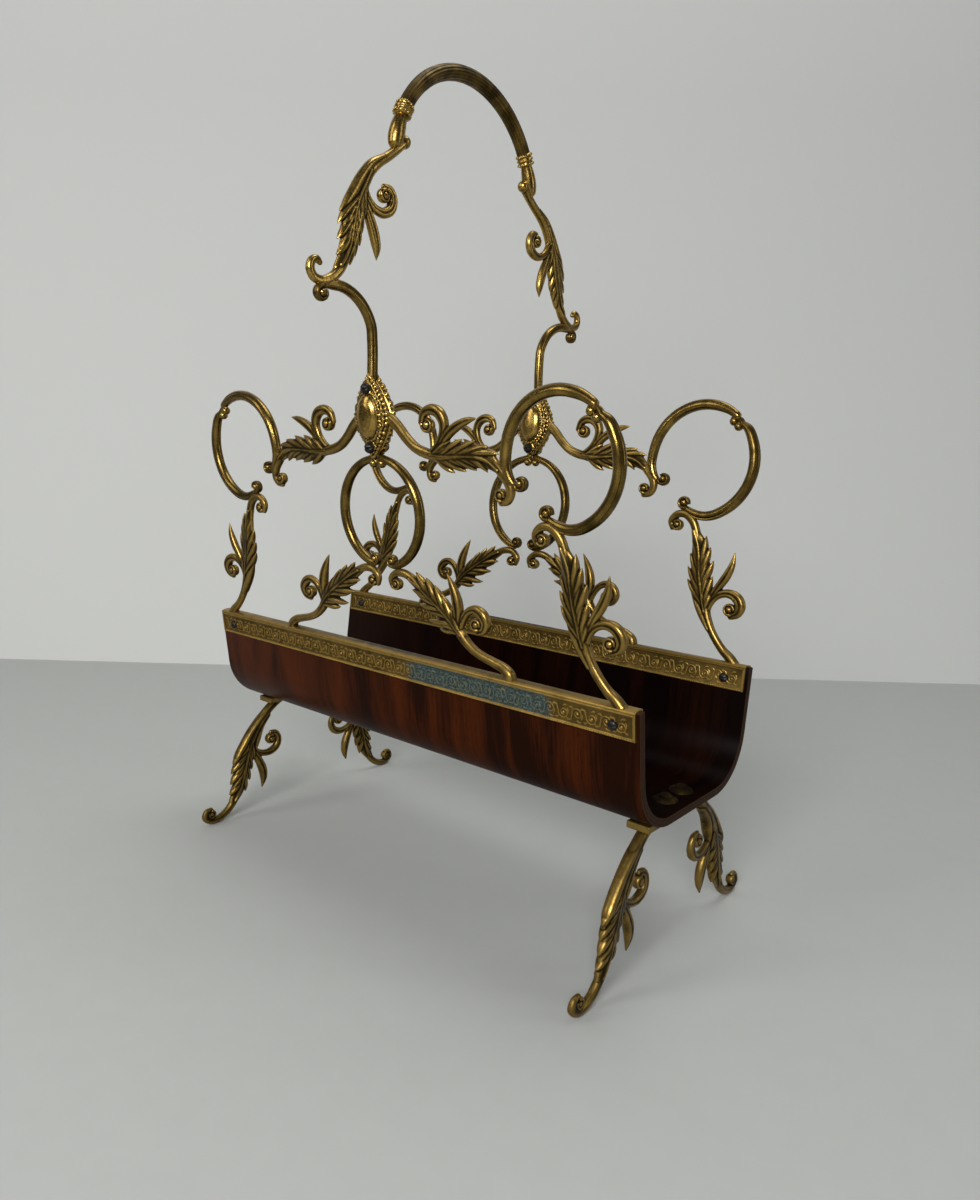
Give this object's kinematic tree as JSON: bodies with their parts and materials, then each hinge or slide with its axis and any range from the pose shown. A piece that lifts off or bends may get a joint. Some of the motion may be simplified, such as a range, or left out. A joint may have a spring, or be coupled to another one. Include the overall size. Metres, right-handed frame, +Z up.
{
  "type": "magazine rack",
  "caption": "Free-standing magazine rack: bent plywood trough on scrolled brass legs, with leaning scrolled galleries joined by an arched carrying handle.",
  "frame": {"origin": "on the floor, under the middle of the rack", "axes": "+X along the trough, +Y to the back gallery, +Z up"},
  "size_m": [0.354, 0.2452, 0.5018],
  "materials": {
    "mahogany_ply": "figured mahogany plywood, satin varnish",
    "aged_brass": "cast brass with brown patina in the recesses",
    "dark_brass": "dark brown handled brass",
    "blackened_steel": "blackened domed screw heads and nuts"
  },
  "bodies": {
    "root": {"back_grip_socket": "aged_brass", "back_handle_leaf": "aged_brass", "back_handle_rod": "aged_brass", "back_left_arm": "aged_brass", "back_left_inner_stem": "aged_brass", "back_left_leg": "aged_brass", "back_left_middle_ring_half": "aged_brass", "back_left_outer_stem": "aged_brass", "back_left_ring_lower_arc": "aged_brass", "back_left_ring_upper_arc": "aged_brass", "back_medallion_inner_shell": "aged_brass", "back_medallion_nuts": "blackened_steel", "back_medallion_outer_shell": "aged_brass", "back_medallion_screws": "blackened_steel", "back_rail": "aged_brass", "back_rail_nuts": "blackened_steel", "back_rail_screws": "blackened_steel", "back_right_arm": "aged_brass", "back_right_inner_stem": "aged_brass", "back_right_leg": "aged_brass", "back_right_middle_ring_half": "aged_brass", "back_right_outer_stem": "aged_brass", "back_right_ring_lower_arc": "aged_brass", "back_right_ring_upper_arc": "aged_brass", "front_grip_socket": "aged_brass", "front_handle_leaf": "aged_brass", "front_handle_rod": "aged_brass", "front_left_arm": "aged_brass", "front_left_inner_stem": "aged_brass", "front_left_leg": "aged_brass", "front_left_middle_ring_half": "aged_brass", "front_left_outer_stem": "aged_brass", "front_left_ring_lower_arc": "aged_brass", "front_left_ring_upper_arc": "aged_brass", "front_medallion_inner_shell": "aged_brass", "front_medallion_nuts": "blackened_steel", "front_medallion_outer_shell": "aged_brass", "front_medallion_screws": "blackened_steel", "front_rail": "aged_brass", "front_rail_nuts": "blackened_steel", "front_rail_screws": "blackened_steel", "front_right_arm": "aged_brass", "front_right_inner_stem": "aged_brass", "front_right_leg": "aged_brass", "front_right_middle_ring_half": "aged_brass", "front_right_outer_stem": "aged_brass", "front_right_ring_lower_arc": "aged_brass", "front_right_ring_upper_arc": "aged_brass", "handle_grip": "dark_brass", "leg_screws": "aged_brass", "leg_washers": "aged_brass", "trough_shell": "mahogany_ply"}
  },
  "joints": []
}
